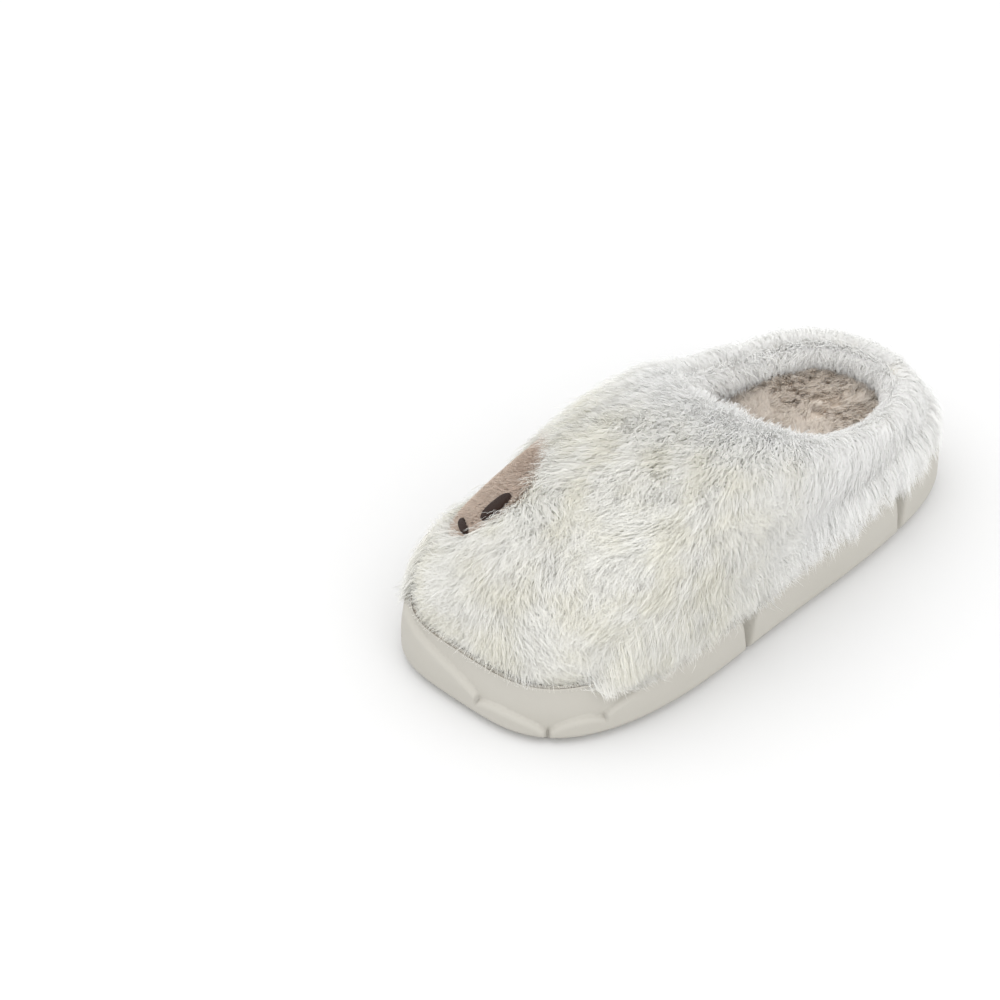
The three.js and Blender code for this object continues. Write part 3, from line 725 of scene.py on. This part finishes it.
def make_insock(base_material, tuft_material):
    rng = np.random.default_rng(21)
    spokes = 160
    ring = footwell_ring(spokes, INSOCK_TOP - 2.0, WALL_THICKNESS - 1.0)
    shares = np.linspace(0, 1, 30)[1:]
    points = [np.array([[0.0, 0.0, insock_height(0.0, 0.0)]])]
    for share in shares:
        x, y = (ring * share).T
        points.append(np.stack([x, y, insock_height(x, y)], axis=1))
    x, y = ring.T
    points.append(np.stack([x, y, seat_height(y) + INSOCK_TOP - 7.5], axis=1))
    points.append(np.array([[0.0, 0.0, seat_height(0.0) + INSOCK_TOP - 7.5]]))
    mesh = mesh_of("insock_backing", np.concatenate(points), shell_faces(spokes, len(shares) + 1, False))
    piece = make_object("insock_backing", mesh, base_material)
    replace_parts(piece, "sherpa_insock")
    # Tufts spread over the area, only where the opening can show them.
    turn = rng.uniform(0, 1, INSOCK_TRIES)
    stops = np.linspace(0, 1, spokes + 1)
    closed = np.append(ring, ring[:1], axis=0)
    place = np.stack([np.interp(turn, stops, closed[:, i]) for i in (0, 1)], axis=1)
    reach = np.linalg.norm(place, axis=1)
    hit = rng.uniform(0, 1, INSOCK_TRIES) < (reach / reach.max()) ** 2
    xy = (place * np.sqrt(rng.uniform(0, 1, (INSOCK_TRIES, 1))))[hit]
    xy = xy[xy[:, 1] > HIDDEN_TOEWARD][:INSOCK_TUFTS]
    x, y = xy.T
    root = np.stack([x, y, insock_height(x, y)], axis=1)
    heading = 2.0 * waves(x / 26, y / 26, 33) + 1.2 + rng.normal(0, 0.45, len(x))
    lean = np.stack([np.sin(heading), np.cos(heading), np.zeros(len(x))], axis=1)
    normal = np.tile([0.0, 0.0, 1.0], (len(x), 1))
    length = rng.uniform(4.5, 6.5, len(x))
    spine, side, facing, shade = tufts(rng, root, normal, lean, 20, 1.3, length, SHERPA_STEPS, 0.7)
    width = taper(len(spine), SHERPA_STEPS, 0.34, rng)
    tone = strand_tone(len(spine), SHERPA_STEPS, shade)
    mesh = ribbon_mesh("insock_pile", spine, width, side, facing, tone)
    make_object("insock_pile", mesh, tuft_material)


def make_lining(base_material, tuft_material):
    rng = np.random.default_rng(27)
    runs = (
        ("vamp_lining_backing", "vamp_lining", -SEAM_PLACE, SEAM_PLACE, 90),
        ("heel_lining_backing", "heel_lining", SEAM_PLACE, 1 - SEAM_PLACE, 70),
    )
    for name, node, first, last, columns in runs:
        u = np.linspace(first, last, columns)[:, None]
        rows = 30
        v = np.linspace(0.04, 0.985, rows)[None, :]
        grid_u, grid_v = np.broadcast_arrays(u, v)
        front = upper_point(grid_u, grid_v, LINING_DEPTH)
        back = upper_point(grid_u, grid_v, LINING_BACK_DEPTH)
        faces = [tuple(reversed(f)) for f in grid_faces(columns, rows, False)]
        shift = columns * rows
        faces += [tuple(i + shift for i in f) for f in grid_faces(columns, rows, False)]
        for i in range(columns - 1):
            a, b = i * rows, (i + 1) * rows
            faces.append((a, b, b + shift, a + shift))
            a, b = a + rows - 1, b + rows - 1
            faces.append((b, a, a + shift, b + shift))
        for j in range(rows - 1):
            faces.append((j + 1, j, j + shift, j + 1 + shift))
            end = (columns - 1) * rows + j
            faces.append((end, end + 1, end + 1 + shift, end + shift))
        points = np.concatenate([front.reshape(-1, 3), back.reshape(-1, 3)])
        piece = make_object(name, mesh_of(name, points, faces), base_material)
        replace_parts(piece, node)
    u, v = scatter(rng, LINING_TUFTS, 0.25, 1.0, LINING_DEPTH)
    place, _, up_it, normal, _, _ = frame_at(u, v, LINING_DEPTH)
    lean = up_it * rng.normal(0.4, 0.8, (len(u), 1))
    lean = unit(lean + np.cross(normal, up_it) * rng.normal(0, 0.8, (len(u), 1)))
    length = rng.uniform(3.8, 5.4, len(u))
    spine, side, facing, shade = tufts(rng, place, -normal, lean, 14, 1.0, length, SHERPA_STEPS, 0.8)
    width = taper(len(spine), SHERPA_STEPS, 0.42, rng)
    tone = strand_tone(len(spine), SHERPA_STEPS, shade)
    mesh = ribbon_mesh("lining_pile", spine, width, side, facing, tone)
    make_object("lining_pile", mesh, tuft_material)


# ---- the patch ----
def patch_sheet(name, node, place, heights, steps, material):
    """A rounded patch on the fur. heights are its underside, its top, and how far its middle is domed."""
    low, high, dome = heights
    spokes, rings = steps
    angle = np.linspace(0, 2 * np.pi, spokes, endpoint=False)
    points = []

    def ring_at(size, lift):
        u = place["u"] + place["half_u"] * size * power(np.cos(angle), 2 / PATCH_SQUARENESS)
        v = place["v"] + place["half_v"] * size * power(np.sin(angle), 2 / PATCH_SQUARENESS)
        spot, _, _, normal, _, _ = frame_at(u, v, 0.0)
        return spot + normal * lift

    centre_u, centre_v = np.array([place["u"]]), np.array([place["v"]])
    spot, _, _, normal, _, _ = frame_at(centre_u, centre_v, 0.0)
    points.append(spot + normal * low)
    for k in range(1, rings + 1):
        points.append(ring_at(k / rings, low))
    for k in range(rings, 0, -1):
        size = k / rings
        round_off = np.sqrt(max(0.0, 1 - size**8))
        points.append(ring_at(size, low + (high - low) * (0.35 + 0.65 * round_off) + dome * (1 - size**2)))
    points.append(spot + normal * (high + dome))
    mesh = mesh_of(name, np.concatenate(points), shell_faces(spokes, 2 * rings, True))
    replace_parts(make_object(name, mesh, material), node)


def make_patch(backing, pile, thread):
    rng = np.random.default_rng(41)
    patch_sheet("patch_backing", "plush_patch", PATCH, (-1.6, 0.2, 0.0), (96, 14), backing)
    on_patch = lambda u, v: in_patch(u, v, PATCH) < 0.97
    low, high = PATCH["v"] - PATCH["half_v"], PATCH["v"] + PATCH["half_v"]
    u, v = scatter(rng, PATCH_STRANDS, low, high, 0.0, on_patch)
    place, round_it, up_it, normal, _, _ = frame_at(u, v, 0.0)
    heading = 0.3 * waves(u * 20, v * 5, 43) + rng.normal(0, 0.35, len(u))
    lean = -up_it * np.cos(heading)[:, None] + round_it * np.sin(heading)[:, None]
    t = np.linspace(0, 1, PATCH_STEPS)[None, :, None]
    length = rng.uniform(2.0, 2.9, len(u))[:, None, None]
    spine = place[:, None, :] + length * (normal[:, None, :] * 0.8 * t + lean[:, None, :] * 0.7 * t**1.5)
    facing = np.broadcast_to(normal[:, None, :], spine.shape)
    side = turned_sides(spine, facing, rng)
    width = taper(len(u), PATCH_STEPS, 0.34, rng)
    shade = rng.normal(0, 1, len(u)) + 1.2 * waves(u * 90, v * 24, 44)
    tone = strand_tone(len(u), PATCH_STEPS, shade)
    mesh = ribbon_mesh("patch_pile", spine, width, side, facing, tone)
    make_object("patch_pile", mesh, pile)
    for name, node, mark, dome, steps in (
        ("embroidered_oval", "patch_mark_long", LONG_MARK, 0.5, (48, 8)),
        ("embroidered_dash", "patch_mark_short", SHORT_MARK, 0.4, (40, 6)),
    ):
        patch_sheet(name, node, mark, (1.4, 2.6, dome), steps, thread)


# ---- the sole ----
def nearest_gap(share):
    """The nearest cut, and the distance to it along the wall."""
    distance = np.abs((share[:, None] - GAP_PLACES[None, :] + 0.5) % 1.0 - 0.5) * OUTLINE_TOTAL
    nearest = np.argmin(distance, axis=1)
    return nearest, distance[np.arange(len(share)), nearest]


def block_depth(share, height, wall):
    """How far a place on the wall lies inside its block's rounded edge, negative outside the block."""
    gap, away = nearest_gap(share)
    rise = height / wall
    away = away - mix(GAP_FOOT[gap], 0.6 * GAP_MOUTH[gap], np.clip(rise, 0, 1))
    corner = np.clip(away / BLOCK_ROUNDING, 0, 1)
    full = mix(0.35 * BLOCK_TOP, BLOCK_TOP, np.sqrt(1 - (1 - corner) ** 2))
    lobe = np.where((share - GAP_PLACES[gap] + 0.5) % 1.0 > 0.5, LOW_LOBE_LENGTHS[1], LOW_LOBE_LENGTHS[0])
    along_low = np.clip((away - lobe / 2) / (lobe / 2), -1, 1)
    low = LOW_LOBE * (0.5 + 0.5 * np.sqrt(1 - along_low**2)) + 0.12 * np.clip(away / lobe, 0, 1)
    climb = np.clip((away - lobe) / HIGH_LOBE_LENGTH, 0, 1)
    high = mix(LOW_LOBE + 0.06, BLOCK_TOP, climb**0.62)
    top = np.where(GAP_IS_LOW[gap], np.where(away < lobe, low, high), full)
    return np.minimum(away, (top - rise) * wall * 0.85)


def wall_inset(share, height, wall):
    """How far the wall lies inside the widest outline: pillowed blocks on a band, with wedge-shaped cuts."""
    gap, away = nearest_gap(share)
    rise = height / wall
    foot = BOTTOM_INSET * (1 - smooth(rise / 0.22)) ** 2
    lean = mix(0, LIP_INSET - BAND_INSET, smooth((rise - 0.4) / 0.6))
    depth = block_depth(share, height, wall)
    pillow = np.sqrt(1 - (1 - np.clip(depth / PILLOW, 0, 1)) ** 2)
    half = mix(GAP_FOOT[gap], GAP_MOUTH[gap], np.clip(rise, 0, 1))
    wedge = np.clip(1 - away / half, 0, 1) * smooth((GAP_TOP[gap] - rise) / GAP_FADE)
    outside = BAND_INSET + (GAP_DEPTH[gap] - BAND_INSET) * wedge
    return np.maximum(foot, lean + outside * (1 - pillow))


def make_sole(material, painted_groove_shade):
    stations = SOLE_STATIONS
    share = np.arange(stations) / stations
    edge, _ = outline_at(share)
    wall = rim_height(edge[:, 1])
    rings = []
    for level in np.concatenate([np.linspace(0, 0.2, 9), np.linspace(0.22, 0.97, 50)]):
        height = level * wall
        place, _ = outline_at(share, wall_inset(share, height, wall))
        rings.append(np.column_stack([place, height]))
    # The rim's rounded edge, the narrow groove inside it, the welt beside the fur, and down to the seat.
    for inset, drop in RIM_PROFILE:
        place, _ = outline_at(share, np.full(stations, inset))
        rings.append(np.column_stack([place, wall - drop]))
    place, _ = outline_at(share, np.full(stations, LIP_INSET + LIP_WIDTH - 0.35))
    rings.append(np.column_stack([place, seat_height(place[:, 1])]))
    grid = np.stack(rings, axis=1)
    rows = grid.shape[1]
    faces = grid_faces(stations, rows, True)
    faces.append(tuple(i * rows for i in range(stations - 1, -1, -1)))
    faces.append(tuple(i * rows + rows - 1 for i in range(stations)))
    mesh = mesh_of("moulded_sole", grid.reshape(-1, 3), faces)
    piece = make_object("moulded_sole", mesh, material)
    # Faces in the rim's narrow groove take a darker material: painted shade, standing in for the shadow
    # inside the groove.
    mesh.materials.append(painted_groove_shade)
    first = rows - 1 - len(RIM_PROFILE) + GROOVE_START
    slots = np.zeros(len(mesh.polygons), np.int32)
    in_row = np.arange(stations * (rows - 1)) % (rows - 1)
    slots[: len(in_row)] = (in_row >= first) & (in_row < first + 3)
    mesh.polygons.foreach_set("material_index", slots)
    cut_tread(piece)
    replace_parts(piece, "unit_sole")


def cut_tread(sole):
    """Straight grooves across the underside, short of its edge."""
    reach = SOLE_LENGTH / 2 - TREAD_MARGIN - BOTTOM_INSET
    count = int(reach // TREAD_PITCH)
    points = []
    faces = []
    for i in [k for k in range(-count, count + 1) if k != 0]:
        y = i * TREAD_PITCH
        along = abs(y) / (SOLE_LENGTH / 2)
        half = HEEL_HALF_WIDTH * (1 - along**OUTLINE_POWER) ** (1 / OUTLINE_POWER) - TREAD_MARGIN
        first = len(points)
        for z in (-TREAD_DEPTH, TREAD_DEPTH):
            for x, side in ((-half, -1), (half, -1), (half, 1), (-half, 1)):
                points.append((x, y + side * TREAD_WIDTH / 2, z))
        for quad in ((3, 2, 1, 0), (4, 5, 6, 7), (0, 1, 5, 4), (1, 2, 6, 5), (2, 3, 7, 6), (3, 0, 4, 7)):
            faces.append(tuple(first + k for k in quad))
    cutter = show(bpy.data.objects.new("tread_cutter", mesh_of("tread_cutter", points, faces)))
    cut = sole.modifiers.new("tread", "BOOLEAN")
    cut.object = cutter
    cut.operation = "DIFFERENCE"
    cut.solver = "EXACT"
    bpy.context.view_layer.update()
    depsgraph = bpy.context.evaluated_depsgraph_get()
    made = bpy.data.meshes.new_from_object(sole.evaluated_get(depsgraph))
    sole.modifiers.clear()
    sole.data = made
    bpy.data.objects.remove(cutter)


# ---- materials ----
class Nodes:
    """A small helper that adds shader nodes and joins them."""

    def __init__(self, name):
        self.material = bpy.data.materials.new(name)
        self.material.use_nodes = True
        self.tree = self.material.node_tree
        self.tree.nodes.clear()

    def add(self, kind, **values):
        node = self.tree.nodes.new(kind)
        for key, value in values.items():
            setattr(node, key, value)
        return node

    def join(self, source, target):
        self.tree.links.new(source, target)

    def finish(self, shader):
        output = self.add("ShaderNodeOutputMaterial")
        self.join(shader, output.inputs["Surface"])
        return self.material


def ramp(nodes, source, stops):
    node = nodes.add("ShaderNodeValToRGB")
    elements = node.color_ramp.elements
    while len(elements) < len(stops):
        elements.new(0.5)
    for element, (position, colour) in zip(elements, stops):
        element.position = position
        element.color = (*colour, 1)
    nodes.join(source, node.inputs["Fac"])
    return node.outputs["Color"]


def blended(nodes, factor, first, second, blend="MIX"):
    node = nodes.add("ShaderNodeMix", data_type="RGBA", blend_type=blend)
    for source, name in ((factor, "Factor"), (first, "A"), (second, "B")):
        sockets = [s for s in node.inputs if s.name == name and (s.type == "RGBA" or name == "Factor")]
        socket = sockets[0]
        if isinstance(source, bpy.types.NodeSocket):
            nodes.join(source, socket)
        else:
            socket.default_value = source
    return [s for s in node.outputs if s.type == "RGBA"][0]


def strand_material(name, root, tip, warm, roughness, translucent, spread, warm_share=0.3):
    """Strands: darker at the root, lighter at the tip, each with its own shade."""
    nodes = Nodes(name)
    data = nodes.add("ShaderNodeAttribute", attribute_name="strand")
    parts = nodes.add("ShaderNodeSeparateColor")
    nodes.join(data.outputs["Color"], parts.inputs["Color"])
    halfway = tuple(mix(a, b, 0.6) for a, b in zip(root, tip))
    along = ramp(nodes, parts.outputs["Red"], ((0.0, root), (0.45, halfway), (1.0, tip)))
    shade = ramp(nodes, parts.outputs["Green"], ((0.1, (1 - spread,) * 3), (0.85, (1.0,) * 3)))
    shaded = blended(nodes, 1.0, along, shade, "MULTIPLY")
    warmth = nodes.add("ShaderNodeMath", operation="MULTIPLY")
    warmth.inputs[1].default_value = warm_share
    nodes.join(parts.outputs["Blue"], warmth.inputs[0])
    colour = blended(nodes, warmth.outputs["Value"], shaded, (*warm, 1))
    surface = nodes.add("ShaderNodeBsdfPrincipled")
    surface.inputs["Roughness"].default_value = roughness
    surface.inputs["Specular IOR Level"].default_value = 0.25
    nodes.join(colour, surface.inputs["Base Color"])
    through = nodes.add("ShaderNodeBsdfTranslucent")
    nodes.join(colour, through.inputs["Color"])
    both = nodes.add("ShaderNodeMixShader")
    both.inputs["Fac"].default_value = translucent
    nodes.join(surface.outputs["BSDF"], both.inputs[1])
    nodes.join(through.outputs["BSDF"], both.inputs[2])
    return nodes.finish(both.outputs["Shader"])


def mottled_material(name, dark, light, scale, roughness, bump_scale, bump_height):
    """A solid surface with a soft change of colour and a fine relief."""
    nodes = Nodes(name)
    place = nodes.add("ShaderNodeTexCoord")
    cloud, grain = (nodes.add("ShaderNodeTexNoise") for _ in range(2))
    for noise, size, detail in ((cloud, scale, 6), (grain, bump_scale, 3)):
        noise.inputs["Scale"].default_value = size
        noise.inputs["Detail"].default_value = detail
        nodes.join(place.outputs["Object"], noise.inputs["Vector"])
    colour = ramp(nodes, cloud.outputs["Fac"], ((0.3, dark), (0.7, light)))
    bump = nodes.add("ShaderNodeBump")
    bump.inputs["Strength"].default_value = 0.6
    bump.inputs["Distance"].default_value = bump_height
    nodes.join(grain.outputs["Fac"], bump.inputs["Height"])
    rough = nodes.add("ShaderNodeMapRange")
    rough.inputs["To Min"].default_value = roughness - 0.06
    rough.inputs["To Max"].default_value = roughness + 0.06
    nodes.join(grain.outputs["Fac"], rough.inputs["Value"])
    surface = nodes.add("ShaderNodeBsdfPrincipled")
    nodes.join(colour, surface.inputs["Base Color"])
    nodes.join(rough.outputs["Result"], surface.inputs["Roughness"])
    nodes.join(bump.outputs["Normal"], surface.inputs["Normal"])
    return nodes.finish(surface.outputs["BSDF"])


def thread_material():
    """Satin stitches: close parallel threads with a soft gloss."""
    nodes = Nodes("dark_thread")
    place = nodes.add("ShaderNodeTexCoord")
    lines = nodes.add("ShaderNodeTexWave")
    lines.inputs["Scale"].default_value = 700
    lines.inputs["Distortion"].default_value = 1.2
    nodes.join(place.outputs["Object"], lines.inputs["Vector"])
    colour = ramp(nodes, lines.outputs["Fac"], ((0.0, (0.012, 0.006, 0.004)), (1.0, (0.05, 0.024, 0.016))))
    bump = nodes.add("ShaderNodeBump")
    bump.inputs["Distance"].default_value = 0.0003
    nodes.join(lines.outputs["Fac"], bump.inputs["Height"])
    surface = nodes.add("ShaderNodeBsdfPrincipled")
    surface.inputs["Roughness"].default_value = 0.6
    surface.inputs["Specular IOR Level"].default_value = 0.2
    nodes.join(colour, surface.inputs["Base Color"])
    nodes.join(bump.outputs["Normal"], surface.inputs["Normal"])
    return nodes.finish(surface.outputs["BSDF"])


FUR = strand_material(
    "fur_strands", (0.955, 0.95, 0.935), (0.98, 0.982, 0.978), (0.925, 0.912, 0.84), 0.6, 0.45, 0.03, 0.8
)
SHERPA = strand_material(
    "sherpa_strands", (0.78, 0.71, 0.63), (0.92, 0.86, 0.79), (0.86, 0.79, 0.71), 0.75, 0.45, 0.08
)
PLUSH = strand_material(
    "patch_strands", (0.56, 0.45, 0.365), (0.80, 0.685, 0.59), (0.75, 0.62, 0.535), 0.7, 0.35, 0.15
)
PELT = mottled_material("fur_backing", (0.86, 0.83, 0.74), (0.92, 0.90, 0.84), 90, 0.9, 900, 0.0006)
SHERPA_BASE = mottled_material("sherpa_backing", (0.52, 0.44, 0.37), (0.66, 0.58, 0.5), 160, 0.95, 500, 0.001)
PLUSH_BASE = mottled_material("patch_backing", (0.50, 0.39, 0.31), (0.60, 0.48, 0.39), 200, 0.9, 900, 0.0005)
SOLE = mottled_material("sole_foam", (0.43, 0.413, 0.37), (0.46, 0.443, 0.40), 14, 0.62, 1500, 0.00012)
# Painted shade: the rim's groove is coloured darker than the foam to stand in for the shadow inside it.
PAINTED_GROOVE_SHADE = mottled_material("rim_groove_painted_shade", (0.30, 0.26, 0.22), (0.36, 0.315, 0.27), 60, 0.8, 900, 0.0001)
FOAM = mottled_material("padding_foam", (0.78, 0.72, 0.56), (0.86, 0.81, 0.68), 60, 0.9, 1200, 0.0004)
BOARD = mottled_material("insole_board", (0.5, 0.41, 0.28), (0.62, 0.52, 0.38), 80, 0.9, 900, 0.0002)
THREAD = thread_material()

# ---- the model ----
make_sole(SOLE, PAINTED_GROOVE_SHADE)
make_pelt("pelt_vamp", "vamp_fur", -SEAM_PLACE, SEAM_PLACE, 150, PELT)
make_pelt("pelt_heel", "heel_fur", SEAM_PLACE, 1 - SEAM_PLACE, 110, PELT)
make_fur(FUR)
make_insock(SHERPA_BASE, SHERPA)
make_lining(SHERPA_BASE, SHERPA)
make_patch(PLUSH_BASE, PLUSH, THREAD)

for node, material in (
    ("strobel_sock", BOARD),
    ("toe_puff", BOARD),
    ("heel_counter", BOARD),
    ("topline_tape", BOARD),
    ("footbed_foam", FOAM),
    ("vamp_foam", FOAM),
    ("heel_foam", FOAM),
):
    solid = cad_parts[node]
    solid.data.materials.clear()
    solid.data.materials.append(material)


# ---- floor, light and camera ----
def make_floor():
    nodes = Nodes("studio_floor")
    surface = nodes.add("ShaderNodeBsdfDiffuse")
    surface.inputs["Color"].default_value = (FLOOR_GREY, FLOOR_GREY, FLOOR_GREY, 1)
    corners = [(x * FLOOR_HALF, y * FLOOR_HALF, 0) for x, y in ((-1, -1), (1, -1), (1, 1), (-1, 1))]
    mesh = mesh_of("floor", corners, [(0, 1, 2, 3)])
    mesh.materials.append(nodes.finish(surface.outputs["BSDF"]))
    show(bpy.data.objects.new("floor", mesh))


def aim(thing, place, target):
    thing.location = place
    thing.rotation_mode = "QUATERNION"
    thing.rotation_quaternion = (target - Vector(place)).to_track_quat("-Z", "Y")


def make_lights():
    world = bpy.data.worlds.new("studio")
    bpy.context.scene.world = world
    world.use_nodes = True
    world.node_tree.nodes["Background"].inputs["Color"].default_value = (1, 1, 1, 1)
    world.node_tree.nodes["Background"].inputs["Strength"].default_value = WORLD_STRENGTH
    for name, place, size, watts in LAMPS:
        data = bpy.data.lights.new(name, "AREA")
        data.size = size
        data.energy = watts
        aim(show(bpy.data.objects.new(name, data)), place, Vector((0, 0, 0)))


def make_camera():
    data = bpy.data.cameras.new("camera")
    data.lens = CAMERA_LENS
    data.sensor_width = CAMERA_SENSOR
    camera = show(bpy.data.objects.new("camera", data))
    aim(camera, CAMERA_PLACE, CAMERA_AIM)
    bpy.context.scene.camera = camera


make_floor()
make_lights()
make_camera()
bpy.context.scene.view_settings.view_transform = "Standard"
bpy.context.scene.cycles.diffuse_bounces = 10
